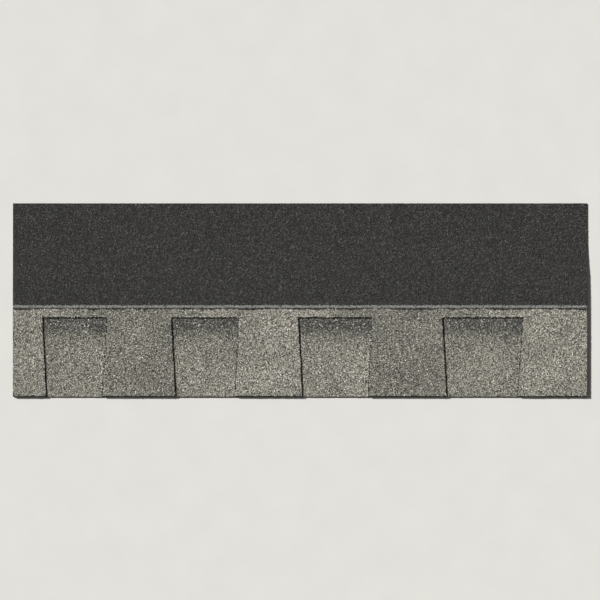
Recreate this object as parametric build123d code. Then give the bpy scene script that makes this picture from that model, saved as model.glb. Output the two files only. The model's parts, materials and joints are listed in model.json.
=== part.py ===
from build123d import *

import os

# Laminated asphalt shingle: one strip, lying on a level floor with its weather face up.
#
# Two plies are bonded together. The upper one, the tooth sheet, runs the shingle's full height, and its
# lower part is cut into flared teeth with slots between them. The lower one, the backer sheet, is a
# plain strip that shows through the slots and doubles the thickness in the part that stays in view once
# the shingle is laid. The butt end stands on the dashes of sealant under the backer. Behind the backer's
# top edge the single ply droops and lies on the floor.
#
# Millimetres. X runs along the strip, +Y from the butt edge to the top edge, and +Z out of the weather
# face. The origin is at the middle of the strip's footprint, on the floor.

# The strip
LENGTH = 1000.0
HEIGHT = 337.0  # backer's butt edge to the tooth sheet's top edge
EXPOSURE = 143.0  # what stays in view once the shingle is laid, from the butt edge
TOOTH_PLY = 2.6  # thickness, granules included
BACKER_PLY = 2.6

# The backer reaches past the exposure, and that band is where both plies take the nails.
COMMON_BOND = 28.0
BACKER_REVEAL = 1.0  # how far the backer's butt edge stands out past the teeth

# The cut-outs, listed from the left end: width at the butt edge, and how much further the left side and
# the right side have moved outwards at the top of the slot. The list repeats along a longer strip.
SLOTS = (
    (98.0, 6.7, 8.6),
    (104.0, 7.6, 6.7),
    (115.0, 7.6, 6.7),
    (124.0, 7.6, 9.5),
)
END_TOOTH = 58.0  # the part tooth at the left end, and the least that is left at the right end
TEETH = (127.0, 117.0, 136.0)  # width at the butt edge of each whole tooth, in turn
SLOT_SETBACK = 5.0  # how far a slot's top edge stops short of the exposure
CUT_RADIUS = 1.0  # corners of the teeth and slots

# Behind the backer the single ply droops, and this much of it, up to the top edge, lies on the floor.
FLOOR_RUN = 46.0

# Sealant: dashes of adhesive under the butt end, which hold it down once the shingle is laid
DASH_LENGTH = 50.0
DASH_WIDTH = 12.0
DASH_GAP = 20.0
DASH_THICKNESS = 1.0
DASH_CHAMFER = 0.4  # rolled-down lower rim
DASH_SETBACK = 12.0  # butt edge to the dashes

# Release film, pressed flush into the back of the headlap, where another shingle's sealant would touch it
# in a bundle
FILM_WIDTH = 30.0
FILM_THICKNESS = 0.1
FILM_SETBACK = 3.0  # top edge to the film

CUT_PAST = 2.0  # how far a cutting solid runs past the faces that it cuts

# Levels and lines that follow from the sizes above
BUTT_Y = -HEIGHT / 2
TOP_Y = HEIGHT / 2
TEETH_Y = BUTT_Y + BACKER_REVEAL
SLOT_TOP_Y = BUTT_Y + EXPOSURE - SLOT_SETBACK
BACKER_HEIGHT = EXPOSURE + COMMON_BOND
BACKER_TOP_Y = BUTT_Y + BACKER_HEIGHT
BACKER_FACE_Z = DASH_THICKNESS + BACKER_PLY
TEETH_FACE_Z = BACKER_FACE_Z + TOOTH_PLY


def slot_places():
    """Each slot's left and right X at the teeth's butt edge, and how far each side leans out above."""
    places = []
    left = -LENGTH / 2 + END_TOOTH
    while True:
        index = len(places)
        width, lean_left, lean_right = SLOTS[index % len(SLOTS)]
        right = left + width
        if right + END_TOOTH > LENGTH / 2:
            return places
        places.append((left, right, lean_left, lean_right))
        left = right + TEETH[index % len(TEETH)]


def draped_section():
    """The tooth sheet's section: level over the backer, two tangent arcs down, then flat on the floor."""
    upper_z = BACKER_FACE_Z + TOOTH_PLY / 2
    floor_z = TOOTH_PLY / 2
    landing_y = TOP_Y - FLOOR_RUN
    inflection = ((BACKER_TOP_Y + landing_y) / 2, (upper_z + floor_z) / 2)
    with BuildSketch(Plane.YZ.offset(-LENGTH / 2)) as section:
        with BuildLine():
            over_backer = Line((TEETH_Y, upper_z), (BACKER_TOP_Y, upper_z))
            bend_down = TangentArc(over_backer @ 1, inflection, tangent=over_backer % 1)
            bend_level = TangentArc(inflection, (landing_y, floor_z), tangent=bend_down % 1)
            Line(bend_level @ 1, (TOP_Y, floor_z))
        trace(line_width=TOOTH_PLY)
    return section.sketch


def slot_cutter():
    """All the slots as prisms from the floor up, with their sides carried on past the teeth's ends."""
    past_y = TEETH_Y - CUT_PAST
    lean_past = CUT_PAST / (SLOT_TOP_Y - TEETH_Y)
    with BuildPart() as cutter:
        with BuildSketch():
            for left, right, lean_left, lean_right in slot_places():
                with BuildLine():
                    Polyline(
                        (left - lean_left, SLOT_TOP_Y),
                        (right + lean_right, SLOT_TOP_Y),
                        (right - lean_right * lean_past, past_y),
                        (left + lean_left * lean_past, past_y),
                        close=True,
                    )
                make_face()
        extrude(amount=TEETH_FACE_Z + CUT_PAST)
    return cutter.part


def film_block(past=0.0):
    """The release film, flush with the back of the headlap, or the cutter for its seat."""
    middle_y = TOP_Y - FILM_SETBACK - FILM_WIDTH / 2
    with BuildPart() as film:
        with Locations((0, middle_y, FILM_THICKNESS)):
            Box(
                LENGTH + 2 * past,
                FILM_WIDTH,
                FILM_THICKNESS + past,
                align=(Align.CENTER, Align.CENTER, Align.MAX),
            )
    return film.part


def make_tooth_sheet():
    """Upper ply: draped full-height sheet with its slots cut out and a shallow seat for the film."""
    with BuildPart() as sheet:
        add(draped_section())
        extrude(amount=LENGTH, dir=(1, 0, 0))
        add(slot_cutter(), mode=Mode.SUBTRACT)
        end_x = LENGTH / 2 - CUT_RADIUS
        cut_corners = sheet.edges().filter_by(Axis.Z).filter_by_position(Axis.X, -end_x, end_x)
        fillet(cut_corners, CUT_RADIUS)
        add(film_block(past=CUT_PAST), mode=Mode.SUBTRACT)
    return sheet.part


def make_backer_sheet():
    """Lower ply: a plain strip under the teeth and a little way past the exposure."""
    with BuildPart() as backer:
        with Locations((0, BUTT_Y, DASH_THICKNESS)):
            Box(LENGTH, BACKER_HEIGHT, BACKER_PLY, align=(Align.CENTER, Align.MIN, Align.MIN))
    return backer.part


def make_sealant_dashes():
    """A row of round-ended adhesive dashes under the backer, with at least a gap left at each end."""
    pitch = DASH_LENGTH + DASH_GAP
    count = int((LENGTH - DASH_GAP) // pitch)
    row_y = BUTT_Y + DASH_SETBACK + DASH_WIDTH / 2
    with BuildPart() as dashes:
        with BuildSketch():
            with Locations((0, row_y)):
                with GridLocations(pitch, DASH_WIDTH, count, 1):
                    SlotOverall(DASH_LENGTH, DASH_WIDTH)
        extrude(amount=DASH_THICKNESS)
        chamfer(dashes.faces().group_by(Axis.Z)[0].edges(), DASH_CHAMFER)
    return dashes.part


def main():
    os.makedirs("parts", exist_ok=True)
    pieces = {
        "tooth_sheet": make_tooth_sheet(),
        "backer_sheet": make_backer_sheet(),
        "sealant_dashes": make_sealant_dashes(),
        "release_film": film_block(),
    }
    for name, piece in pieces.items():
        export_step(piece, f"parts/{name}.step")


main()
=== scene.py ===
import json
import math

import bmesh
import bpy
import numpy as np
from bpy.props import FloatProperty, FloatVectorProperty, IntProperty, PointerProperty
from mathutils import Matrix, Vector, noise
from mathutils.bvhtree import BVHTree


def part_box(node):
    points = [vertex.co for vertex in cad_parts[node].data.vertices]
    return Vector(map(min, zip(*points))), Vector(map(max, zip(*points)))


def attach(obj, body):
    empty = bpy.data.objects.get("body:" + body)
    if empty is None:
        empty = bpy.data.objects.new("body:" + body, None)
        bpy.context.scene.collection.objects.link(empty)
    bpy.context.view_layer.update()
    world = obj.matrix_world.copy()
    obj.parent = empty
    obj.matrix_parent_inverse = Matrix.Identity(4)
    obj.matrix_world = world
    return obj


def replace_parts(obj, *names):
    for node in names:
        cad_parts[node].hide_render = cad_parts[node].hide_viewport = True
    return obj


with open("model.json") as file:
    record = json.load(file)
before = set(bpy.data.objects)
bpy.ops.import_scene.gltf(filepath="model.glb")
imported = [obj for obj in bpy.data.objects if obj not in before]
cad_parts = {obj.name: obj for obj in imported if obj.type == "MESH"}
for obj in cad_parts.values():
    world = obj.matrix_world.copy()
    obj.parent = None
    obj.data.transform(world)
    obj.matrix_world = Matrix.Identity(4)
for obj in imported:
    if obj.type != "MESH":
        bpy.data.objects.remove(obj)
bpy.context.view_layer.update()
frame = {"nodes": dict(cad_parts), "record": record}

bl_info = {
    "name": "Laminated shingle",
    "version": (1, 0, 0),
    "blender": (4, 5, 0),
    "location": "View3D > Sidebar > Shingle",
    "description": "Dresses a two-ply asphalt shingle with real granules, asphalt, sealant and film",
    "category": "Object",
}

# The frame has the shingle's two sheets, its dashes of sealant and its release film at their real size.
# The sheets are remade here as asphalt, with edges that a cutting wheel has bitten and an open bed on
# top. Each granule is a block of crushed rock that is pressed into that bed until its top is level with
# the frame's face, or a little lower. X runs along the strip, +Y from the butt edge to the top edge, and
# +Z out of the weather face.

# The frame is in metres. The shingle's sizes are given in millimetres here, and the stage's in metres.
MM = 0.001

# Where the frame has the two sheets, and the open boxes of the slots from the left
TOOTH_LOW, TOOTH_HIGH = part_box("tooth_sheet")
BACKER_LOW, BACKER_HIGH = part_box("backer_sheet")
SLOTS = sorted(
    (opening["box_m"] for opening in frame["record"]["physics"]["openings"]),
    key=lambda box: box[0][0],
)
BUTT_Y = BACKER_LOW.y
SLOT_TOP_Y = SLOTS[0][1][1]

# Fired colours of the crushed rock, from dark to light: (name, darkest shade, lightest shade). The last
# one isn't a grey. It takes the place of some of the middling greys.
COLOURS = (
    ("charcoal", "#2F3030", "#5A5B59"),
    ("slate", "#5A5B59", "#86857C"),
    ("grey", "#86857C", "#AEABA0"),
    ("pale", "#AEABA0", "#D4D0C2"),
    ("white", "#D4D0C2", "#F8F5EC"),
    ("buff", "#959280", "#C8C3AD"),
)

# How light the blend fell on each tooth and in each slot, from the left, and in the dark band at the top
# of the slots: 0 is charcoal and 1 is white.
TOOTH_TONES = (0.645, 0.55, 0.685, 0.53, 0.66)
SLOT_TONES = (0.645, 0.64, 0.66, 0.615)
BAND_TONE = 0.285


def linear(hex_colour):
    """A hex colour in sRGB as linear red, green and blue."""
    channels = [int(hex_colour[i : i + 2], 16) / 255 for i in (1, 3, 5)]
    return tuple(c / 12.92 if c <= 0.04045 else ((c + 0.055) / 1.055) ** 2.4 for c in channels)


# Settings

# What makes a property of three numbers a colour in the panel
AS_COLOUR = {"subtype": "COLOR", "min": 0, "max": 1}


class GranuleSettings(bpy.types.PropertyGroup):
    """The crushed rock on the weather face"""

    pitch: FloatProperty(
        name="Pitch",
        description="Mean distance between granules in the part that stays in view",
        default=1.42 * MM,
        min=1.2 * MM,
        unit="LENGTH",
    )
    headlap_pitch: FloatProperty(
        name="Headlap pitch",
        description="Mean distance between the coarser granules on the headlap",
        default=2.0 * MM,
        min=1.6 * MM,
        unit="LENGTH",
    )
    size: FloatProperty(
        name="Size",
        description="A granule's mean radius as a share of the pitch",
        default=0.66,
        subtype="FACTOR",
    )
    size_spread: FloatProperty(
        name="Size spread",
        description="How far a granule's radius departs from the mean, as a share of it",
        default=0.30,
        subtype="FACTOR",
    )
    unevenness: FloatProperty(
        name="Unevenness",
        description="How far a granule may be pressed in below the tallest",
        default=0.5 * MM,
        unit="LENGTH",
    )
    coloured_height: FloatProperty(
        name="Coloured height",
        description="Height above the butt edge to which the coloured granules reach",
        default=152.0 * MM,
        unit="LENGTH",
    )
    band_height: FloatProperty(
        name="Shadow band height",
        description="Height of the dark band of granules at the top of each slot",
        default=18.0 * MM,
        unit="LENGTH",
    )
    band_fade: FloatProperty(
        name="Shadow band fade",
        description="Height below the dark band over which about two thirds of it gives way",
        default=13.0 * MM,
        unit="LENGTH",
    )
    colour_spread: FloatProperty(
        name="Colour spread",
        description="How widely the granules' lightness varies about the blend's",
        default=0.13,
        subtype="FACTOR",
    )
    strays: FloatProperty(
        name="Strays",
        description="Share of granules of any colour at all",
        default=0.10,
        subtype="FACTOR",
    )
    buff: FloatProperty(
        name="Buff",
        description="Share of the middling granules that are buff and not grey",
        default=0.2,
        subtype="FACTOR",
    )
    drift_size: FloatProperty(
        name="Drift size",
        description="Size of the soft patches where the blend comes out lighter or darker",
        default=38.0 * MM,
        unit="LENGTH",
    )
    drift: FloatProperty(
        name="Drift",
        description="How much lighter or darker those patches are",
        default=0.05,
        subtype="FACTOR",
    )
    slag_deep: FloatVectorProperty(
        name="Headlap granules, deeper",
        description="Deeper shade of the slag granules on the headlap",
        default=linear("#2E2E2D"),
        **AS_COLOUR,
    )
    slag_pale: FloatVectorProperty(
        name="Headlap granules, paler",
        description="Paler shade of the slag granules on the headlap",
        default=linear("#5C5B58"),
        **AS_COLOUR,
    )


class LineSettings(bpy.types.PropertyGroup):
    """The painted nail line"""

    height: FloatProperty(
        name="Nail line height",
        description="Height of the painted nail line above the butt edge",
        default=157.0 * MM,
        unit="LENGTH",
    )
    width: FloatProperty(
        name="Nail line width",
        description="Width of the painted nail line",
        default=5.0 * MM,
        unit="LENGTH",
    )
    paint: FloatVectorProperty(
        name="Nail line paint",
        description="Colour of the nail line",
        default=linear("#A5A5A0"),
        **AS_COLOUR,
    )


class SheetSettings(bpy.types.PropertyGroup):
    """The two asphalt plies"""

    bed_depth: FloatProperty(
        name="Bed depth",
        description="How far the asphalt lies below the tops of its granules",
        default=0.8 * MM,
        unit="LENGTH",
    )
    edge_step: FloatProperty(
        name="Edge step",
        description="Length of the bites that the cutting wheel leaves along an edge",
        default=2.5 * MM,
        unit="LENGTH",
    )
    edge_wander: FloatProperty(
        name="Edge wander",
        description="Greatest depth of those bites",
        default=0.45 * MM,
        unit="LENGTH",
    )
    edge_taper: FloatProperty(
        name="Edge taper",
        description="How far a cut edge runs in towards the back, which shows the seam between the plies",
        default=0.3 * MM,
        unit="LENGTH",
    )
    asphalt: FloatVectorProperty(
        name="Asphalt",
        description="Colour of the filled asphalt on a cut edge",
        default=linear("#1B1A19"),
        **AS_COLOUR,
    )
    filler: FloatVectorProperty(
        name="Filler",
        description="Colour of the mineral filler that shows in a cut edge",
        default=linear("#55524C"),
        **AS_COLOUR,
    )
    fines: FloatVectorProperty(
        name="Fines",
        description="Colour of the finest chips, which fill the bed between the granules",
        default=linear("#3A3936"),
        **AS_COLOUR,
    )
    dust: FloatVectorProperty(
        name="Dust",
        description="Colour of the fine sand that is dusted on the back",
        default=linear("#6B6861"),
        **AS_COLOUR,
    )


class BackSettings(bpy.types.PropertyGroup):
    """Sealant and release film on the back"""

    bead_points: IntProperty(
        name="Bead points",
        description="Points round each dash of sealant",
        default=48,
        min=12,
    )
    bead_rings: IntProperty(
        name="Bead rings",
        description="Rings from the rim to the middle of each dash",
        default=7,
        min=3,
    )
    bead_lump: FloatProperty(
        name="Bead lumps",
        description="How unevenly the hot sealant settled",
        default=0.16 * MM,
        unit="LENGTH",
    )
    sealant: FloatVectorProperty(
        name="Sealant",
        description="Colour of the sealant",
        default=linear("#121211"),
        **AS_COLOUR,
    )
    film: FloatVectorProperty(
        name="Film",
        description="Colour of the haze in the clear film",
        default=linear("#6E7274"),
        **AS_COLOUR,
    )


class StageSettings(bpy.types.PropertyGroup):
    """Floor, light and camera"""

    floor: FloatVectorProperty(
        name="Floor",
        description="Colour of the floor and of the background",
        default=linear("#E4E2DC"),
        **AS_COLOUR,
    )
    floor_reach: FloatProperty(
        name="Floor reach",
        description="Distance from the shingle's middle to each side of the floor",
        default=12.0,
        unit="LENGTH",
    )
    sun_height: FloatProperty(
        name="Key height",
        description="Height of the key light above the horizon",
        default=math.radians(31),
        subtype="ANGLE",
    )
    sun_side: FloatProperty(
        name="Key side",
        description="Direction that the key light comes from, anticlockwise from the strip's right end",
        default=math.radians(146),
        subtype="ANGLE",
    )
    sun_size: FloatProperty(
        name="Key size",
        description="Angle that the key light fills, which sets how soft its shadows are",
        default=math.radians(7),
        subtype="ANGLE",
    )
    sun_distance: FloatProperty(
        name="Key distance",
        description="Distance to the key light's symbol. Its light is the same from any distance",
        default=3.0,
        unit="LENGTH",
    )
    fill: FloatProperty(
        name="Fill",
        description="Share of the light that comes from all round",
        default=0.10,
        subtype="FACTOR",
    )
    view_width: FloatProperty(
        name="View width",
        description="Width of the floor that the camera sees",
        default=1.045,
        unit="LENGTH",
    )
    camera_height: FloatProperty(
        name="Camera height",
        description="Height of the camera above the floor",
        default=8.0,
        unit="LENGTH",
    )


class ShingleSettings(bpy.types.PropertyGroup):
    """All the settings of one shingle"""

    sheets: PointerProperty(name="Plies", description="The two asphalt plies", type=SheetSettings)
    granules: PointerProperty(name="Granules", description="The crushed rock", type=GranuleSettings)
    line: PointerProperty(name="Nail line", description="The painted nail line", type=LineSettings)
    back: PointerProperty(name="Back", description="Sealant and release film", type=BackSettings)
    stage: PointerProperty(name="Stage", description="Floor, light and camera", type=StageSettings)


def settings():
    """The settings that the panel shows."""
    return bpy.context.scene.shingle


# Materials

# Sizes of the patterns, in millimetres. Some are drawn coarser than they are, or they wouldn't show.
ROCK_GRAIN = 0.9  # the rock's own grains are under 0.3
FINES_GRAIN = 0.9  # the finest chips are 0.4 to 0.9
FILLER_GRAIN = 0.5  # ground limestone is under 0.1
SAND_GRAIN = 0.6  # dusting sand is 0.2 to 0.4
GRIT = 1.2  # lumps that the mineral leaves in a face
PATCH = 16.0  # stretches that took more or less of it
SKIN_WAVE = 3.0  # waves in the sealant's skin
RIPPLE = 7.0  # ripples in the film
MOTTLE = 60.0  # what the roller left in the emulsion

# What is laid on a moving sheet comes out in long patches, so the scales of its patterns are smaller
# along the strip.
SHEET_DRAW = (0.3, 1.0, 1.0)
FILM_DRAW = (0.35, 1.0, 1.0)

# The floor's colour where the roller left the emulsion thin, as a share of its own
THIN_EMULSION = 0.97

# How much more of the asphalt the mineral covers in the fullest patch than in the barest
PATCHINESS = 0.5

# Numbers of a Mix node's sockets when it mixes colours: its factor, its two colours and what comes out
FACTOR = 0
FIRST = 6
SECOND = 7
MIXED = 2


def add_node(tree, kind, sockets=None, **options):
    """Adds a node with its options, and with its sockets' values or links. A node that is given for a
    socket links by its first output."""
    node = tree.nodes.new(kind)
    for name, value in options.items():
        setattr(node, name, value)
    for name, value in (sockets or {}).items():
        if isinstance(value, bpy.types.Node):
            value = value.outputs[0]
        if isinstance(value, bpy.types.NodeSocket):
            tree.links.new(value, node.inputs[name])
        else:
            node.inputs[name].default_value = value
    return node


def opaque(colour):
    """A colour with full cover, as a socket takes it."""
    return (*colour, 1.0)


def per_mm(size_mm):
    """The scale that repeats a pattern once in that many millimetres of object space."""
    return 1 / (size_mm * MM)


def make_material(name, surface, **looks):
    """A material of one principled shader. The surface function adds what feeds the shader, in object
    space and from those looks, and gives back the shader's sockets."""
    material = bpy.data.materials.new(name)
    material.use_nodes = True
    tree = material.node_tree
    tree.nodes.clear()
    place = add_node(tree, "ShaderNodeTexCoord").outputs["Object"]
    shader = add_node(tree, "ShaderNodeBsdfPrincipled", surface(tree, place, **looks))
    add_node(tree, "ShaderNodeOutputMaterial", {"Surface": shader})
    return material


def fired_granules(tree, place, deep, pale):
    """Crushed rock with a ceramic colour fired on. No two granules took the same heat, so each has its
    own shade, and a slight mottle shows the rock's grain. The eye reads a dry, stony speckle."""
    firing = add_node(tree, "ShaderNodeAttribute", attribute_name="firing").outputs["Fac"]
    grain = add_node(tree, "ShaderNodeTexNoise", {"Vector": place, "Scale": per_mm(ROCK_GRAIN), "Detail": 2})
    heat = add_node(tree, "ShaderNodeMath", {0: firing, 1: grain}, operation="ADD")
    # The firing runs from 0 to 1, and the grain mostly keeps to 0.4 to 0.6.
    share = add_node(tree, "ShaderNodeMapRange", {"Value": heat, "From Min": 0.4, "From Max": 1.6})
    colours = {FACTOR: share, FIRST: opaque(deep), SECOND: opaque(pale)}
    colour = add_node(tree, "ShaderNodeMix", colours, data_type="RGBA").outputs[MIXED]
    return {"Base Color": colour, "Roughness": 0.72, "IOR": 1.5, "Specular IOR Level": 0.2}


def filled_asphalt(tree, place, asphalt, mineral, grain, cover, relief, roughness):
    """Oxidised asphalt with mineral pressed into it: near black and dull, with a grit of paler grains.
    The moving sheet takes them unevenly, so they thin out in patches drawn out along the strip."""
    grains = add_node(tree, "ShaderNodeTexVoronoi", {"Vector": place, "Scale": per_mm(grain)})
    chance = add_node(tree, "ShaderNodeSeparateColor", {"Color": grains.outputs["Color"]})
    drawn = add_node(tree, "ShaderNodeMapping", {"Vector": place, "Scale": SHEET_DRAW})
    patches = add_node(tree, "ShaderNodeTexNoise", {"Vector": drawn, "Scale": per_mm(PATCH), "Detail": 4})
    luck = add_node(tree, "ShaderNodeMath", {0: patches, 1: PATCHINESS, 2: chance}, operation="MULTIPLY_ADD")
    most = 1 + PATCHINESS / 2
    share = add_node(tree, "ShaderNodeMapRange", {"Value": luck, "From Min": most - cover, "From Max": most})
    colours = {FACTOR: share, FIRST: opaque(asphalt), SECOND: opaque(mineral)}
    colour = add_node(tree, "ShaderNodeMix", colours, data_type="RGBA").outputs[MIXED]
    rough = add_node(tree, "ShaderNodeTexNoise", {"Vector": place, "Scale": per_mm(GRIT), "Detail": 3})
    height = add_node(tree, "ShaderNodeMath", {0: grains, 1: -relief, 2: rough}, operation="MULTIPLY_ADD")
    bump = add_node(tree, "ShaderNodeBump", {"Height": height, "Strength": 0.6, "Distance": 0.3 * MM})
    return {
        "Base Color": colour,
        "Roughness": roughness,
        "IOR": 1.63,
        "Specular IOR Level": 0.12,
        "Normal": bump,
    }


def hot_laid_sealant(tree, place, colour):
    """Polymer-modified asphalt, laid hot: deep black, with the soft gloss of a skin that never dries."""
    skin = add_node(tree, "ShaderNodeTexNoise", {"Vector": place, "Scale": per_mm(SKIN_WAVE), "Detail": 2})
    bump = add_node(tree, "ShaderNodeBump", {"Height": skin, "Strength": 0.25, "Distance": 0.3 * MM})
    return {
        "Base Color": opaque(colour),
        "Roughness": 0.22,
        "IOR": 1.55,
        "Specular IOR Level": 0.3,
        "Normal": bump,
    }


def clear_polyester(tree, place, colour):
    """Polyester film, drawn clear: the dark back shows through a thin haze, with a hard gloss and the
    faint ripples that pressing it on leaves."""
    drawn = add_node(tree, "ShaderNodeMapping", {"Vector": place, "Scale": FILM_DRAW})
    ripple = add_node(tree, "ShaderNodeTexNoise", {"Vector": drawn, "Scale": per_mm(RIPPLE), "Detail": 1})
    bump = add_node(tree, "ShaderNodeBump", {"Height": ripple, "Strength": 0.3, "Distance": 0.5 * MM})
    return {"Base Color": opaque(colour), "Roughness": 0.12, "IOR": 1.6, "Alpha": 0.22, "Normal": bump}


def matte_emulsion(tree, place, colour):
    """Matte emulsion on a flat board: pale and without gloss, and barely mottled by the roller."""
    mottle = add_node(tree, "ShaderNodeTexNoise", {"Vector": place, "Scale": per_mm(MOTTLE), "Detail": 3})
    # The mottle hardly leaves 0.3 to 0.7.
    share = add_node(tree, "ShaderNodeMapRange", {"Value": mottle, "From Min": 0.3, "From Max": 0.7})
    thin = tuple(THIN_EMULSION * c for c in colour)
    colours = {FACTOR: share, FIRST: opaque(thin), SECOND: opaque(colour)}
    mixed = add_node(tree, "ShaderNodeMix", colours, data_type="RGBA").outputs[MIXED]
    return {"Base Color": mixed, "Roughness": 0.9, "Specular IOR Level": 0.0}


# Meshes, and what is read from the frame's

# Corners of the frame's meshes that are nearer than this are one.
SAME_PLACE = 0.001 * MM

# Rays start this far above or below the floor, clear of the shingle.
RAY_START = 1.0
DOWN = Vector((0, 0, -1))


def add_piece(name, mesh, slot, *materials):
    """Puts a finished mesh in the scene as a piece of the shingle."""
    for material in materials:
        mesh.materials.append(material)
    piece = bpy.data.objects.new(name, mesh)
    bpy.context.scene.collection.objects.link(piece)
    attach(piece, "root")
    return piece


def mesh_of(name, points, faces):
    """A mesh from an array of points and an array of triangles or of quads."""
    mesh = bpy.data.meshes.new(name)
    count, corners = faces.shape
    mesh.vertices.add(len(points))
    mesh.vertices.foreach_set("co", points.astype(np.float32).ravel())
    mesh.loops.add(count * corners)
    mesh.loops.foreach_set("vertex_index", faces.astype(np.int32).ravel())
    mesh.polygons.add(count)
    mesh.polygons.foreach_set("loop_start", np.arange(0, count * corners, corners, dtype=np.int32))
    mesh.update(calc_edges=True)
    return mesh


def mesh_from(name, shape):
    """A mesh from a bmesh, which is freed."""
    mesh = bpy.data.meshes.new(name)
    bmesh.ops.recalc_face_normals(shape, faces=shape.faces)
    shape.to_mesh(mesh)
    shape.free()
    return mesh


def shape_of(node):
    """A node's mesh as a bmesh, with the corners that lie in one place joined."""
    shape = bmesh.new()
    shape.from_mesh(frame["nodes"][node].data)
    bmesh.ops.remove_doubles(shape, verts=shape.verts, dist=SAME_PLACE)
    return shape


def tree_of(node):
    """A node's faces, for rays."""
    mesh = frame["nodes"][node].data
    points = [vertex.co.copy() for vertex in mesh.vertices]
    return BVHTree.FromPolygons(points, [tuple(face.vertices) for face in mesh.polygons])


# The two plies

# Least and greatest upward part of a face's normal, for a weather face and for a cut edge
WEATHER_FACE = 0.5
CUT_EDGE = 0.3

# A corner of an outline turns by more than this, in radians.
STRAIGHT_ON = 0.001

# A cutting wheel's bites, as shares of the greatest: the mean, and the depth and closeness of its waves
MEAN_BITE = 0.45
BITE_WAVES = ((0.5, 0.6), (0.4, 2.3))

# Where each ply's bites start in the noise, and how far from them those of its underside start
TOOTH_BITES = 3.1
BACKER_BITES = 8.4
UNDERSIDE_BITES = 40

# The height of a face is read this many millimetres inside its edge.
JUST_INSIDE = 0.3

# Gap between the film and the asphalt over it, so that neither face hides in the other
FILM_GAP = 0.1 * MM

# A ply's materials, in the order of their slots
BED, EDGE, BACK = range(3)


def outline(node):
    """The corners of a sheet's weather face as seen from above, anticlockwise from its low left end."""
    shape = shape_of(node)
    shape.normal_update()
    following = {}
    for face in shape.faces:
        for loop in face.loops:
            beyond = loop.link_loop_radial_next.face
            if face.normal.z > WEATHER_FACE and abs(beyond.normal.z) < CUT_EDGE:
                following[loop.vert] = loop.link_loop_next.vert
    first = here = min(following, key=lambda vertex: vertex.co.x + vertex.co.y)
    corners = []
    while not corners or here is not first:
        corners.append(here.co.xy.copy())
        here = following[here]
    shape.free()
    around = zip(corners[-1:] + corners, corners, corners[1:] + corners[:1])
    return [at for before, at, after in around if abs((at - before).angle_signed(after - at)) > STRAIGHT_ON]


def along_edge(corners, step):
    """Points along an outline at about that step, each with the way out of the sheet."""
    runs = [after - at for at, after in zip(corners, corners[1:] + corners[:1])]
    ways_out = [Vector((run.y, -run.x)).normalized() for run in runs]
    points = []
    for corner, run, before, out in zip(corners, runs, ways_out[-1:] + ways_out, ways_out):
        parts = max(round(run.length / step), 1)
        points.append((corner, (before + out).normalized()))
        points += [(corner + run * (i / parts), out) for i in range(1, parts)]
    return points


def bitten(points, sheets, start, taper=0.0):
    """The points, moved into the sheet by the bites that the cutting wheel left and by its taper."""
    moved = []
    for point, out in points:
        at = Vector((*(point / sheets.edge_step), start))
        bite = sum((depth * noise.noise(at * closeness) for depth, closeness in BITE_WAVES), MEAN_BITE)
        moved.append(point - out * (taper + sheets.edge_wander * min(max(bite, 0), 1)))
    return moved


def face_height(tree, point, out, downwards):
    """The height of a sheet's face just inside a point of its edge, as a ray finds it."""
    place = point - out * JUST_INSIDE * MM
    start = Vector((*place, RAY_START if downwards else -RAY_START))
    return tree.ray_cast(start, Vector((0, 0, -start.z)))[0].z


def levels(points, tree, pressed_to, sheets):
    """Each point's height on the bed and on the back."""
    film_low, film_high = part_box("release_film")
    beds, backs = [], []
    for point, out in points:
        beds.append(face_height(tree, point, out, True) - sheets.bed_depth)
        back = face_height(tree, point, out, False)
        if point.y <= pressed_to:
            back -= sheets.bed_depth
        if film_low.y <= point.y <= film_high.y:
            back += FILM_GAP
        backs.append(back)
    return beds, backs


def drape_steps(points):
    """Behind the backer the ply bends down, so a face has to end at each step there: pairs of a point on
    the right end and the one straight across from it on the left end."""
    count = range(len(points))
    low_right = max(count, key=lambda i: points[i][0].x - points[i][0].y)
    top_right = max(count, key=lambda i: points[i][0].x + points[i][0].y)
    top_left = max(count, key=lambda i: points[i][0].y - points[i][0].x)
    draped = [i for i in range(low_right, top_right) if points[i][0].y > BACKER_HIGH.y]
    return [(i, top_left + top_right - i) for i in draped]


def close_ring(shape, ring, steps, slot):
    """Closes a ring of points with one face over the teeth, a narrow one for each step of the drape, and
    one at the top edge."""
    if not steps:
        faces = [shape.faces.new(ring)]
    else:
        (first, beyond), (last, before) = steps[0], steps[-1]
        faces = [shape.faces.new(ring[: first + 1] + ring[beyond:])]
        faces += [shape.faces.new((ring[i], ring[i + 1], ring[j - 1], ring[j])) for i, j in steps[:-1]]
        faces.append(shape.faces.new(ring[last : before + 1]))
    for face in faces:
        face.material_index = slot


def ply(name, node, pressed_to, sheets, start):
    """A sheet's asphalt, with its top at the bed that the granules sit in and its cut edges bitten. Up to
    pressed_to, its underside goes down into the granules of the sheet below."""
    points = along_edge(outline(node), sheets.edge_step)
    beds, backs = levels(points, tree_of(node), pressed_to, sheets)
    steps = drape_steps(points)
    shape = bmesh.new()
    upper_rim = bitten(points, sheets, start)
    lower_rim = bitten(points, sheets, start + UNDERSIDE_BITES, sheets.edge_taper)
    top = [shape.verts.new((*place, height)) for place, height in zip(upper_rim, beds)]
    low = [shape.verts.new((*place, height)) for place, height in zip(lower_rim, backs)]
    for i in range(len(points)):
        j = (i + 1) % len(points)
        shape.faces.new((low[i], low[j], top[j], top[i])).material_index = EDGE
    close_ring(shape, top, steps, BED)
    close_ring(shape, low, steps, BACK)
    return mesh_from(name, shape)


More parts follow.
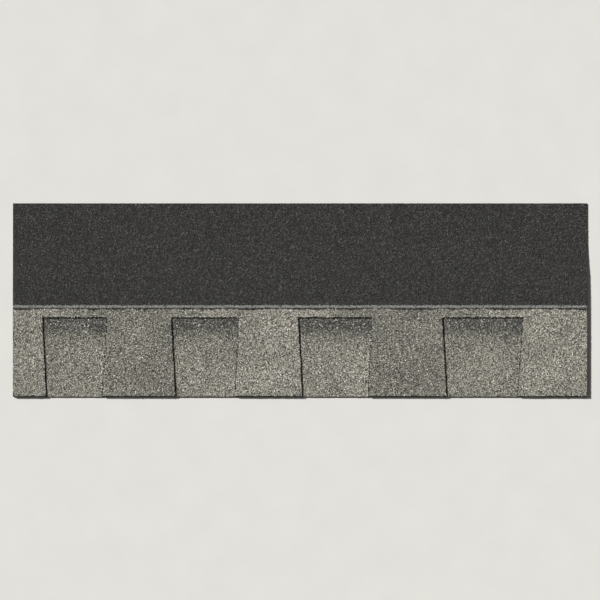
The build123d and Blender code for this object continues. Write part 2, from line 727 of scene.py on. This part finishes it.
def ply_materials(sheets):
    """What a ply shows on its bed, on its cut edges and on its back."""
    bed = make_material(
        "Asphalt bed with fines",
        filled_asphalt,
        asphalt=sheets.asphalt,
        mineral=sheets.fines,
        grain=FINES_GRAIN,
        cover=0.8,
        relief=2.5,
        roughness=0.8,
    )
    edge = make_material(
        "Asphalt, knife cut",
        filled_asphalt,
        asphalt=sheets.asphalt,
        mineral=sheets.filler,
        grain=FILLER_GRAIN,
        cover=0.22,
        relief=0.5,
        roughness=0.6,
    )
    back = make_material(
        "Asphalt, sand dusted",
        filled_asphalt,
        asphalt=sheets.asphalt,
        mineral=sheets.dust,
        grain=SAND_GRAIN,
        cover=0.6,
        relief=1.0,
        roughness=0.85,
    )
    return bed, edge, back


class SHINGLE_OT_roll_plies(bpy.types.Operator):
    """Make the two asphalt sheets, with open beds for the granules, cut edges and a dusted back"""

    bl_idname = "shingle.roll_plies"
    bl_label = "Roll the plies"

    def execute(self, context):
        sheets = settings().sheets
        materials = ply_materials(sheets)
        for name, node, pressed_to, start in (
            ("tooth_ply", "tooth_sheet", BACKER_HIGH.y, TOOTH_BITES),
            ("backer_ply", "backer_sheet", -math.inf, BACKER_BITES),
        ):
            mesh = ply(name, node, pressed_to, sheets, start)
            piece = add_piece(name, mesh, "asphalt_coating", *materials)
            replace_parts(piece, node)
        return {"FINISHED"}


# Where granules land

# The sheets that a granule can land on, by their numbers in a WeatherFace
TOOTH, BACKER = range(2)
NEITHER = -1

# How far a granule's middle keeps from a cut edge of the teeth, in a granule's mean radius: on a tooth it
# may stick out a little past the edge. On the backer it keeps back from the tooth's side, which leaves a
# thin strip of bare black asphalt beside each tooth: painted shade that deepens the shadow there.
EDGE_ON_TOOTH = 0.4
EDGE_ON_BACKER = 0.9

# How far the scattered places keep from the strip's outer edges, in a granule's mean radius
RIM_INSET = 0.35

# Scattered points settle in rounds. In each one a point gives way by this share of what it is too near by
# to each of the eight that were strewn round it.
SETTLING_ROUNDS = 8
GIVING_WAY = 0.3
ROUND_ABOUT = ((0, 1), (1, 0), (1, 1), (1, -1), (0, -1), (-1, 0), (-1, -1), (-1, 1))

# The least gap in metres that anything is divided by, for two points in one place
NO_GAP = 1e-9

# How far the limit between the coloured and the headlap granules wanders to each side. Its waves are
# given by their length, their share of the wander, and where they start in the noise.
FRINGE = 2.5 * MM
FRINGE_WAVES = ((22 * MM, 1.0, 0.5), (5 * MM, 0.6, 3.5))


class WeatherFace:
    """The top faces of the two sheets, as the frame has them."""

    def __init__(self):
        self.trees = [tree_of("tooth_sheet"), tree_of("backer_sheet")]

    def under(self, x, y):
        """Which sheet lies under a point, and how high its face is there."""
        for sheet, tree in enumerate(self.trees):
            place, normal, _, _ = tree.ray_cast(Vector((x, y, RAY_START)), DOWN)
            if place is not None and normal.z > 0:
                return sheet, place.z
        return NEITHER, 0.0

    def tooth_beside(self, x, y, reach):
        """On how many of a point's four sides the tooth sheet is met at that distance."""
        tree = self.trees[TOOTH]
        sides = ((-reach, 0), (reach, 0), (0, -reach), (0, reach))
        starts = (Vector((x + dx, y + dy, RAY_START)) for dx, dy in sides)
        return sum(tree.ray_cast(start, DOWN)[0] is not None for start in starts)

    def holds(self, sheet, x, y, radius):
        """True if a granule of that radius keeps to its sheet there."""
        if sheet == TOOTH:
            return self.tooth_beside(x, y, EDGE_ON_TOOTH * radius) == 4
        # On the backer, keeping back from the tooth leaves bare black asphalt beside it, as painted shade.
        return sheet == BACKER and self.tooth_beside(x, y, EDGE_ON_BACKER * radius) == 0


def scatter(low_y, high_y, inset, pitch, rng):
    """Points strewn over the strip between two lines, and that far inside its ends: one per square of the
    pitch, and then nudged apart."""
    low = np.array((TOOTH_LOW.x + inset, low_y))
    size = np.array((TOOTH_HIGH.x - inset, high_y)) - low
    columns, rows = np.maximum((size / pitch).astype(int), 1)
    grid = np.stack(np.meshgrid(np.arange(columns), np.arange(rows)), -1).astype(float)
    points = (grid + rng.uniform(0, 1, grid.shape)) * size / (columns, rows)
    for _ in range(SETTLING_ROUNDS):
        push = np.zeros_like(points)
        for step in ROUND_ABOUT:
            apart = points - np.roll(points, step, (0, 1))
            gap = np.linalg.norm(apart, axis=-1, keepdims=True)
            needed = np.where(gap < pitch, apart / np.maximum(gap, NO_GAP) * (pitch - gap), 0)
            push += needed * GIVING_WAY
        points += push
    points = points.reshape(-1, 2)
    inside = ((points >= 0) & (points <= size)).all(1)
    return points[inside] + low


def mean_radius(pitch):
    """The mean radius of granules that lie at that pitch."""
    return settings().granules.size * pitch


def fringe(x, height):
    """The Y up to which the coloured granules reach there, where the two streams of granules met."""
    waves = (share * noise.noise(Vector((x / length, start, 0))) for length, share, start in FRINGE_WAVES)
    return BUTT_Y + height + FRINGE * min(max(sum(waves), -1), 1)


# The granules themselves

# A granule reaches down from its top by at least this many times the bed's depth, so that its foot is in
# the asphalt, and by no more than the second size, because the mat lies below.
ROOTED = 1.15
DEEPEST = 1.9 * MM

# How a block is crushed out of true, in its own radius: how far each corner is chipped off its place, and
# the least and most by which the block is stretched along X, Y and Z
CHIP = 0.17
LEAST_STRETCH = (0.8, 0.8, 1.0)
MOST_STRETCH = (1.2, 1.2, 1.6)

# A granule comes to rest tipped by up to this angle.
TIP = np.radians(30)

# A granule's radius on its map, as a share of the square that it has there
MAP_RADIUS = 0.32

# The blocks before they are crushed, each six corners round the middle and eight faces
RECTANGLE = ((1, -1), (-1, -1), (-1, 1), (1, 1))
TRIANGLE = [(math.cos(turn), math.sin(turn)) for turn in np.radians((0, 120, 240))]
PENTAGON = [(math.cos(turn), math.sin(turn)) for turn in np.radians(range(0, 360, 72))]
RIDGE_FACES = [(0, 1, 2), (0, 2, 3), (1, 0, 4), (1, 4, 5), (2, 1, 5), (3, 2, 5), (3, 5, 4), (0, 3, 4)]
TWIST_FACES = [(0, 1, 2), (5, 4, 3), (0, 5, 1), (1, 3, 2), (2, 4, 0), (5, 3, 1), (3, 4, 2), (4, 5, 0)]
COLUMN_FACES = [(0, 1, 2), (5, 4, 3), (0, 3, 4), (0, 4, 1), (1, 4, 5), (1, 5, 2), (2, 5, 3), (2, 3, 0)]
POINT_FACES = [(0, 1, 2), (0, 2, 3), (1, 0, 5), (2, 1, 5), (3, 2, 5), (4, 3, 5), (0, 4, 5), (0, 3, 4)]
RIDGE = [(0.9 * x, 0.8 * y, -0.4) for x, y in RECTANGLE] + [(0.55, 0, 0.5), (-0.55, 0, 0.5)]
TWIST = [(0.85 * x, 0.85 * y, 0.5) for x, y in TRIANGLE] + [(-1.1 * x, -1.1 * y, -0.4) for x, y in TRIANGLE]
COLUMN = [(x, y, 0.45) for x, y in TRIANGLE] + [(1.05 * x, 1.05 * y, -0.55) for x, y in TRIANGLE]
POINT = [(x, -y, -0.35) for x, y in PENTAGON] + [(0.2, 0.15, 0.5)]
SLAB = [(0.8 * x, -0.75 * y, 0.4) for x, y in RECTANGLE] + [(0.9, 0, -0.7), (-0.9, 0, -0.7)]
CORNERS = np.array([RIDGE, TWIST, COLUMN, POINT, SLAB])
FACES = np.array([RIDGE_FACES, TWIST_FACES, COLUMN_FACES, POINT_FACES, RIDGE_FACES])


def tumbled(count, rng):
    """Rotation matrices that turn granules any way round, and tip them."""
    around, towards = rng.uniform(0, 2 * math.pi, (2, count))
    tip = TIP * np.sqrt(rng.uniform(0, 1, count))
    axis = np.stack([np.cos(towards), np.sin(towards), np.zeros(count)], -1)
    cosine, sine = np.cos(tip)[:, None, None], np.sin(tip)[:, None, None]
    cross = np.zeros((count, 3, 3))
    cross[:, 0, 2], cross[:, 1, 2] = axis[:, 1], -axis[:, 0]
    cross[:, 2, 0], cross[:, 2, 1] = -axis[:, 1], axis[:, 0]
    tipped = cosine * np.eye(3) + sine * cross + (1 - cosine) * axis[:, :, None] * axis[:, None, :]
    spun = np.zeros((count, 3, 3))
    spun[:, 0, 0] = spun[:, 1, 1] = np.cos(around)
    spun[:, 0, 1], spun[:, 1, 0] = -np.sin(around), np.sin(around)
    spun[:, 2, 2] = 1
    return tipped @ spun


def granules(name, places, tops, firing, pitch, rng):
    """A mesh of crushed granules. Each is a block stretched, chipped, tipped and turned at random, with
    its highest corner at its given top, and fired from 0, the darkest of its colour, to 1, the lightest.
    The cutting wheel has trimmed those that lay across the strip's outer edges."""
    count = len(places)
    if count == 0:
        raise RuntimeError(f"{name}: no granule found a place to land")
    spread = settings().granules.size_spread
    sizes = mean_radius(pitch) * (1 + spread * rng.uniform(-1, 1, (count, 1, 1)))
    kind = rng.integers(len(CORNERS), size=count)
    corners = CORNERS[kind] + rng.uniform(-CHIP, CHIP, (count, 6, 3))
    corners *= rng.uniform(LEAST_STRETCH, MOST_STRETCH, (count, 1, 3)) * sizes
    shape = np.einsum("nij,nkj->nki", tumbled(count, rng), corners)
    below = shape[:, :, 2] - shape[:, :, 2].max(1, keepdims=True)
    below *= np.maximum(1, ROOTED * settings().sheets.bed_depth / -below.min(1, keepdims=True))
    points = np.stack(
        [
            np.clip(shape[:, :, 0] + places[:, 0, None], TOOTH_LOW.x, TOOTH_HIGH.x),
            np.clip(shape[:, :, 1] + places[:, 1, None], BUTT_Y, TOOTH_HIGH.y),
            np.maximum(below, -DEEPEST) + tops[:, None],
        ],
        -1,
    )
    faces = FACES[kind] + 6 * np.arange(count)[:, None, None]
    mesh = mesh_of(name, points.reshape(-1, 3), faces.reshape(-1, 3))
    mesh.shade_flat()
    shades = np.repeat(firing, 6).astype(np.float32)
    mesh.attributes.new("firing", "FLOAT", "POINT").data.foreach_set("value", shades)
    lay_out(mesh, places, shape[:, :, :2] / sizes)
    return mesh


def lay_out(mesh, places, plan):
    """A UV map that gives each granule a square of its own, in about the order that they lie in."""
    count = len(places)
    side = math.ceil(math.sqrt(count))
    column = np.empty(count, int)
    column[np.argsort(places[:, 0], kind="stable")] = np.arange(count) // side
    by_row = np.lexsort((places[:, 1], column))
    row = np.empty(count, int)
    row[by_row] = np.arange(count) - side * column[by_row]
    middle = np.stack([column, row], -1) + 0.5
    corners = (middle[:, None] + MAP_RADIUS * plan) / side
    layer = mesh.uv_layers.new(name="OFBake")
    vertex = np.empty(len(mesh.loops), np.int32)
    mesh.loops.foreach_get("vertex_index", vertex)
    layer.data.foreach_set("uv", corners.reshape(-1, 2)[vertex].astype(np.float32).ravel())


# Coloured granules

COLOURED_DROP = 1143  # seed

# Standard deviation of how far a granule falls into the next blend, along the strip and across the dark
# band's end
BLEND_WAVER = 4 * MM
BAND_WAVER = 3 * MM

# Lightness stops just short of 1, which keeps the lightest granule in the last grey.
LIGHTEST = 0.999

# Lightness of the middling granules, some of which are buff
BUFF_DARKEST = 0.44
BUFF_LIGHTEST = 0.80


def soft_patches(points, size, rng):
    """Soft random patches of about that size, from -1 to 1."""
    at = (points - points.min(0)) / size
    low = np.floor(at).astype(int)
    knots = rng.uniform(-1, 1, tuple(low.max(0) + 2))
    share = at - low
    share = share * share * (3 - 2 * share)
    column, row = low.T
    right, up = share.T
    near = knots[column, row] * (1 - right) + knots[column + 1, row] * right
    far = knots[column, row + 1] * (1 - right) + knots[column + 1, row + 1] * right
    return near * (1 - up) + far * up


def blend_tone(places, on_backer, options, rng):
    """How light the blend is at each place, from 0 to 1, and how much of the dark band is in it."""
    middles = np.array([(low[0] + high[0]) / 2 for low, high in SLOTS])
    tooth = np.searchsorted(middles, places[:, 0] + rng.normal(0, BLEND_WAVER, len(places)))
    slot = np.abs(places[:, 0, None] - middles).argmin(1)
    below = SLOT_TOP_Y - places[:, 1] + rng.normal(0, BAND_WAVER, len(places))
    faded = 1 - np.exp(-np.maximum(below - options.band_height, 0) / options.band_fade)
    in_slot = BAND_TONE + (np.array(SLOT_TONES)[slot] - BAND_TONE) * faded
    tone = np.where(on_backer, in_slot, np.array(TOOTH_TONES)[tooth])
    tone = np.clip(tone + options.drift * soft_patches(places, options.drift_size, rng), 0, 1)
    return tone, np.where(on_backer, 1 - faded, 0)


def land_coloured(options, rng):
    """Where the coloured granules land, how high their sheet is there, and whether it is the backer."""
    face = WeatherFace()
    radius = mean_radius(options.pitch)
    inset = RIM_INSET * radius
    highest = BUTT_Y + options.coloured_height + FRINGE
    places, heights, on_backer = [], [], []
    for x, y in scatter(BUTT_Y + inset, highest, inset, options.pitch, rng):
        if y > fringe(x, options.coloured_height):
            continue
        sheet, height = face.under(x, y)
        if face.holds(sheet, x, y, radius):
            places.append((x, y))
            heights.append(height)
            on_backer.append(sheet == BACKER)
    return np.array(places), np.array(heights), np.array(on_backer)


def fire(places, on_backer, options, rng):
    """Which of the colours each granule has, and how far it is fired from that colour's darkest shade."""
    count = len(places)
    tone, banded = blend_tone(places, on_backer, options, rng)
    lightness = np.clip(tone + rng.normal(0, options.colour_spread, count), 0, LIGHTEST)
    stray = rng.uniform(0, 1, count) < options.strays * (1 + banded)
    lightness[stray] = rng.uniform(0, LIGHTEST, stray.sum())
    greys = len(COLOURS) - 1
    colour = (lightness * greys).astype(int)
    firing = lightness * greys - colour
    middling = (lightness > BUFF_DARKEST) & (lightness < BUFF_LIGHTEST)
    buff = middling & (rng.uniform(0, 1, count) < options.buff)
    colour[buff] = greys
    firing[buff] = (lightness[buff] - BUFF_DARKEST) / (BUFF_LIGHTEST - BUFF_DARKEST)
    return colour, firing


class SHINGLE_OT_drop_granules(bpy.types.Operator):
    """Drop the coloured granules on the teeth and on the backer, one piece for each fired colour"""

    bl_idname = "shingle.drop_granules"
    bl_label = "Drop the coloured granules"

    def execute(self, context):
        options = settings().granules
        rng = np.random.default_rng(COLOURED_DROP)
        places, tops, on_backer = land_coloured(options, rng)
        tops -= rng.uniform(0, options.unevenness, len(tops))
        colour, firing = fire(places, on_backer, options, rng)
        for index, (name, dark, light) in enumerate(COLOURS):
            piece = f"granules_{name}"
            chosen = colour == index
            mesh = granules(piece, places[chosen], tops[chosen], firing[chosen], options.pitch, rng)
            shades = {"deep": linear(dark), "pale": linear(light)}
            material = make_material(f"Ceramic-coated granules, {name}", fired_granules, **shades)
            add_piece(piece, mesh, "tooth_granules", material)
        return {"FINISHED"}


# Headlap granules

# Real ones are as fine as the coloured ones. These are coarser and lie further apart, which keeps the
# whole shingle under a million triangles.

HEADLAP_DROP = 2337  # seed


class SHINGLE_OT_drop_headlap(bpy.types.Operator):
    """Drop the dark slag granules on the headlap, and leave out the strip that the nail line takes"""

    bl_idname = "shingle.drop_headlap"
    bl_label = "Drop the headlap granules"

    def execute(self, context):
        options, line = settings().granules, settings().line
        rng = np.random.default_rng(HEADLAP_DROP)
        face = WeatherFace()
        inset = RIM_INSET * mean_radius(options.headlap_pitch)
        low, high = BUTT_Y + options.coloured_height - FRINGE, TOOTH_HIGH.y - inset
        places = scatter(low, high, inset, options.headlap_pitch, rng)
        limit = [fringe(x, options.coloured_height) for x in places[:, 0]]
        places = places[places[:, 1] > limit]
        tops = np.array([face.under(x, y)[1] for x, y in places])
        tops -= rng.uniform(0, options.unevenness, len(tops))
        # Two pieces, because one would be too many triangles
        upper = places[:, 1] > (low + high) / 2
        off_line = np.abs(places[:, 1] - (BUTT_Y + line.height)) > line.width / 2
        shades = {"deep": options.slag_deep, "pale": options.slag_pale}
        slag = make_material("Coal slag granules", fired_granules, **shades)
        for name, chosen in (("headlap_lower", ~upper & off_line), ("headlap_upper", upper)):
            firing = rng.uniform(0, 1, chosen.sum())
            mesh = granules(name, places[chosen], tops[chosen], firing, options.headlap_pitch, rng)
            add_piece(name, mesh, "headlap_granules", slag)
        return {"FINISHED"}


# Nail line

LINE_DROP = 1570  # seed

# The granules under the paint lie closer than the rest, at this share of the pitch.
LINE_PITCH = 0.92

# The paint's deeper shade, as a share of its colour
THIN_PAINT = 0.7

# The paint between the granules is a crust over a grid of points, which runs along the line. The points
# are nudged out of true, and the line's sides are ragged by up to a share of half its width. The noise of
# each is given by its size along the line, and by how far apart it is read for the line's middle and its
# side, so that the rows differ.
PAINT_STEP = 1.2 * MM
PAINT_ROWS = 6
PAINT_SHORT = 0.5 * MM  # what the crust stops short of the strip's ends
NUDGE = 0.25 * MM
NUDGE_SIZE = 1.3 * MM
NUDGE_APART = 7
RAGGED = 0.5
RAGGED_SIZE = 2 * MM
RAGGED_APART = 9
LUMP_SIZE = 1.7 * MM

# The crust's height over the bed, in millimetres
CRUST_TOP = 0.3  # on a lump's crown
LUMP_FALL = 0.5  # how much lower it is between lumps
SIDE_START = 0.6  # where it starts to fall to the line's side, as a share of half the width
SIDE_FALL = 0.8  # how fast it falls there, for each half width
CRUST_GONE = -0.2  # where it has gone under


def crust_point(x, share, half_width, line_y, bed):
    """A point of the painted crust, at that share of half the width to the line's side."""
    nudge = NUDGE * noise.noise_vector(Vector((x / NUDGE_SIZE, NUDGE_APART * share, 0)))
    x, y = x + nudge.x, half_width * share + nudge.y
    lump = noise.voronoi(Vector((x, y, 0)) / LUMP_SIZE)[0][0]
    ragged = RAGGED * noise.noise(Vector((x / RAGGED_SIZE, RAGGED_APART * share, 0)))
    lift = CRUST_TOP - LUMP_FALL * lump - SIDE_FALL * max(0, abs(share) + ragged - SIDE_START)
    if abs(share) == 1:
        lift = CRUST_GONE
    return x, line_y + y, bed + MM * max(lift, CRUST_GONE)


def paint_crust(name, line_y, width, bed):
    """The paint on and between the granules: a thin lumpy crust that runs out raggedly to each side."""
    # Unseeded, the noise gives other vectors in each run.
    noise.seed_set(LINE_DROP)
    along = np.arange(TOOTH_LOW.x + PAINT_SHORT, TOOTH_HIGH.x - PAINT_SHORT, PAINT_STEP)
    across = np.linspace(-1, 1, PAINT_ROWS)
    points = [crust_point(x, share, 0.5 * width, line_y, bed) for x in along for share in across]
    near_end = tuple(range(PAINT_ROWS))
    far_end = tuple(range(len(points) - 1, len(points) - PAINT_ROWS - 1, -1))
    faces = [near_end, far_end]
    for i in range(0, len(points) - PAINT_ROWS, PAINT_ROWS):
        for j in range(PAINT_ROWS):
            k = (j + 1) % PAINT_ROWS
            faces.append((i + j, i + j + PAINT_ROWS, i + k + PAINT_ROWS, i + k))
    mesh = bpy.data.meshes.new(name)
    mesh.from_pydata(points, [], faces)
    mesh.shade_smooth()
    return mesh


class SHINGLE_OT_paint_line(bpy.types.Operator):
    """Paint the nail line: the granules under the roller, and the paint that ran in between them"""

    bl_idname = "shingle.paint_line"
    bl_label = "Paint the nail line"

    def execute(self, context):
        options, line = settings().granules, settings().line
        rng = np.random.default_rng(LINE_DROP)
        inset = RIM_INSET * mean_radius(options.pitch)
        line_y = BUTT_Y + line.height
        low, high = line_y - line.width / 2, line_y + line.width / 2
        places = scatter(low, high, inset, LINE_PITCH * options.pitch, rng)
        tops = TOOTH_HIGH.z - rng.uniform(0, options.unevenness, len(places))
        firing = rng.uniform(0, 1, len(places))
        shades = {"deep": tuple(THIN_PAINT * c for c in line.paint), "pale": line.paint}
        paint = make_material("Granules, roller painted", fired_granules, **shades)
        rock = granules("nail_line", places, tops, firing, options.pitch, rng)
        add_piece("nail_line", rock, "headlap_granules", paint)
        bed = TOOTH_HIGH.z - settings().sheets.bed_depth
        crust = paint_crust("nail_line_paint", line_y, line.width, bed)
        add_piece("nail_line_paint", crust, "headlap_granules", paint)
        return {"FINISHED"}


# Sealant and film

# How soon a dash's round end gives way to its straight sides, and the power that shapes its dome
END_STRETCH = 4
DOME_POWER = 3

# Lumps in the sealant: their size, how soon they rise from the rim, and how far apart two dashes read
# them in the noise
BEAD_LUMP_SIZE = 6 * MM
BEAD_LUMP_RISE = 3
BEADS_APART = 0.37


def islands(node):
    """The lowest and highest corner of each separate solid of a node, from left to right."""
    shape = shape_of(node)
    left, found = set(shape.verts), []
    while left:
        group, edge = set(), [left.pop()]
        while edge:
            vertex = edge.pop()
            group.add(vertex)
            near = {link.other_vert(vertex) for link in vertex.link_edges} & left
            left -= near
            edge.extend(near)
        corners = np.array([vertex.co for vertex in group])
        found.append((corners.min(0), corners.max(0)))
    shape.free()
    return sorted(found, key=lambda box: box[0][0])


def bead(low, high, back, start):
    """One dash of sealant: flat against the backer, and slumped into a low uneven dome below."""
    middle, half = (low + high) / 2, (high - low) / 2
    turn = np.linspace(0, 2 * math.pi, back.bead_points, endpoint=False)
    rim = np.stack([np.cos(turn), np.sin(turn)], -1) * half[1]
    stretch = np.sign(np.cos(turn)) * np.minimum(1, np.abs(np.cos(turn)) * END_STRETCH)
    points = []
    for ring in range(back.bead_rings):
        inwards = ring / back.bead_rings
        flat = rim * (1 - inwards)
        flat[:, 0] += (half[0] - half[1]) * stretch
        depth = (high[2] - low[2]) * math.sqrt(1 - (1 - inwards) ** DOME_POWER)
        for x, y in flat:
            lump = 0.5 + 0.5 * noise.noise(Vector((x + start, y, 0)) / BEAD_LUMP_SIZE)
            z = high[2] - depth + back.bead_lump * lump * min(1, BEAD_LUMP_RISE * inwards)
            points.append((middle[0] + x, middle[1] + y, z))
    return points


class SHINGLE_OT_print_sealant(bpy.types.Operator):
    """Print the dashes of sealant along the butt end of the back"""

    bl_idname = "shingle.print_sealant"
    bl_label = "Print the sealant"

    def execute(self, context):
        back = settings().back
        count = back.bead_points
        shape = bmesh.new()
        for index, (low, high) in enumerate(islands("sealant_dashes")):
            verts = [shape.verts.new(point) for point in bead(low, high, back, BEADS_APART * index)]
            rings = [verts[i : i + count] for i in range(0, len(verts), count)]
            for outer, inner in zip(rings, rings[1:]):
                for i in range(count):
                    j = (i + 1) % count
                    shape.faces.new((outer[j], outer[i], inner[i], inner[j]))
            shape.faces.new(rings[0])
            shape.faces.new(reversed(rings[-1]))
        mesh = mesh_from("sealant_beads", shape)
        mesh.shade_smooth()
        sealant = make_material("Modified asphalt sealant, hot laid", hot_laid_sealant, colour=back.sealant)
        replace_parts(add_piece("sealant_beads", mesh, "sealant", sealant), "sealant_dashes")
        return {"FINISHED"}


class SHINGLE_OT_press_film(bpy.types.Operator):
    """Give the release film on the back its clear polyester"""

    bl_idname = "shingle.press_film"
    bl_label = "Press on the release film"

    def execute(self, context):
        film = make_material("Polyester film, clear", clear_polyester, colour=settings().back.film)
        materials = frame["nodes"]["release_film"].data.materials
        materials.clear()
        materials.append(film)
        return {"FINISHED"}


# Stage

# How far the camera draws, in its own heights
FAR_END = 4

WHITE = (1, 1, 1)


def lay_floor(scene, stage):
    """A plain pale board under the shingle. Past its sides, the world shows its colour."""
    sides = np.array([(-1, -1, 0), (1, -1, 0), (1, 1, 0), (-1, 1, 0)])
    mesh = mesh_of("floor", stage.floor_reach * sides, np.array([(0, 1, 2, 3)]))
    mesh.materials.append(make_material("Matte pale emulsion", matte_emulsion, colour=stage.floor))
    floor = bpy.data.objects.new("floor", mesh)
    scene.collection.objects.link(floor)


def hang_key(scene, stage):
    """A key light low on the upper left, which rakes over the granules. With the fill, it lights a level
    face so that it shows its own colour."""
    level = math.cos(stage.sun_height)
    towards = Vector(
        (
            level * math.cos(stage.sun_side),
            level * math.sin(stage.sun_side),
            math.sin(stage.sun_height),
        )
    )
    light = bpy.data.lights.new("key", "SUN")
    light.energy = (1 - stage.fill) * math.pi / math.sin(stage.sun_height)
    light.angle = stage.sun_size
    lamp = bpy.data.objects.new("key", light)
    lamp.rotation_mode = "QUATERNION"
    lamp.rotation_quaternion = (-towards).to_track_quat("-Z", "Y")
    lamp.location = towards * stage.sun_distance
    scene.collection.objects.link(lamp)


def fill_world(scene, stage):
    """An even fill from all round. What the camera sees past the floor, by itself, in gloss or through
    film, is the floor's own colour."""
    world = bpy.data.worlds.new("fill")
    world.use_nodes = True
    tree = world.node_tree
    tree.nodes.clear()
    rays = add_node(tree, "ShaderNodeLightPath").outputs
    camera, gloss, film = rays["Is Camera Ray"], rays["Is Glossy Ray"], rays["Is Transmission Ray"]
    either = add_node(tree, "ShaderNodeMath", {0: camera, 1: gloss}, operation="MAXIMUM")
    seen = add_node(tree, "ShaderNodeMath", {0: either, 1: film}, operation="MAXIMUM")
    around = add_node(tree, "ShaderNodeBackground", {"Color": opaque(WHITE), "Strength": stage.fill})
    backdrop = add_node(tree, "ShaderNodeBackground", {"Color": opaque(stage.floor), "Strength": 1})
    both = add_node(tree, "ShaderNodeMixShader", {0: seen, 1: around, 2: backdrop})
    add_node(tree, "ShaderNodeOutputWorld", {"Surface": both})
    scene.world = world


def place_camera(scene, stage):
    """Straight above the middle and square onto the weather face, with a long lens."""
    data = bpy.data.cameras.new("camera")
    data.lens = data.sensor_width * stage.camera_height / stage.view_width
    data.clip_end = FAR_END * stage.camera_height
    camera = bpy.data.objects.new("camera", data)
    camera.location = (0, 0, stage.camera_height)
    scene.collection.objects.link(camera)
    scene.camera = camera


class SHINGLE_OT_set_stage(bpy.types.Operator):
    """Lay the floor, hang the lights and set the camera straight above the shingle"""

    bl_idname = "shingle.set_stage"
    bl_label = "Set the stage"

    def execute(self, context):
        scene, stage = context.scene, settings().stage
        lay_floor(scene, stage)
        hang_key(scene, stage)
        fill_world(scene, stage)
        place_camera(scene, stage)
        scene.view_settings.view_transform = "Standard"
        return {"FINISHED"}


# Panel and registration


class SHINGLE_PT_panel(bpy.types.Panel):
    """The shingle's steps, in the order that they run, and its settings"""

    bl_idname = "SHINGLE_PT_panel"
    bl_label = "Laminated shingle"
    bl_space_type = "VIEW_3D"
    bl_region_type = "UI"
    bl_category = "Shingle"

    def draw(self, context):
        for operator in OPERATORS:
            self.layout.operator(operator.bl_idname)
        for group_name in ShingleSettings.__annotations__:
            box = self.layout.box()
            group = getattr(settings(), group_name)
            for name in group.__annotations__:
                box.prop(group, name)


OPERATORS = (
    SHINGLE_OT_roll_plies,
    SHINGLE_OT_drop_granules,
    SHINGLE_OT_drop_headlap,
    SHINGLE_OT_paint_line,
    SHINGLE_OT_print_sealant,
    SHINGLE_OT_press_film,
    SHINGLE_OT_set_stage,
)
GROUPS = (SheetSettings, GranuleSettings, LineSettings, BackSettings, StageSettings, ShingleSettings)
CLASSES = (*GROUPS, *OPERATORS, SHINGLE_PT_panel)


def register():
    for cls in CLASSES:
        bpy.utils.register_class(cls)
    bpy.types.Scene.shingle = PointerProperty(
        name="Shingle",
        description="All the settings of one shingle",
        type=ShingleSettings,
    )


def unregister():
    del bpy.types.Scene.shingle
    for cls in reversed(CLASSES):
        bpy.utils.unregister_class(cls)


def main():
    register()
    bpy.ops.shingle.roll_plies()
    bpy.ops.shingle.drop_granules()
    bpy.ops.shingle.drop_headlap()
    bpy.ops.shingle.paint_line()
    bpy.ops.shingle.print_sealant()
    bpy.ops.shingle.press_film()
    bpy.ops.shingle.set_stage()


if __name__ == "__main__":
    main()
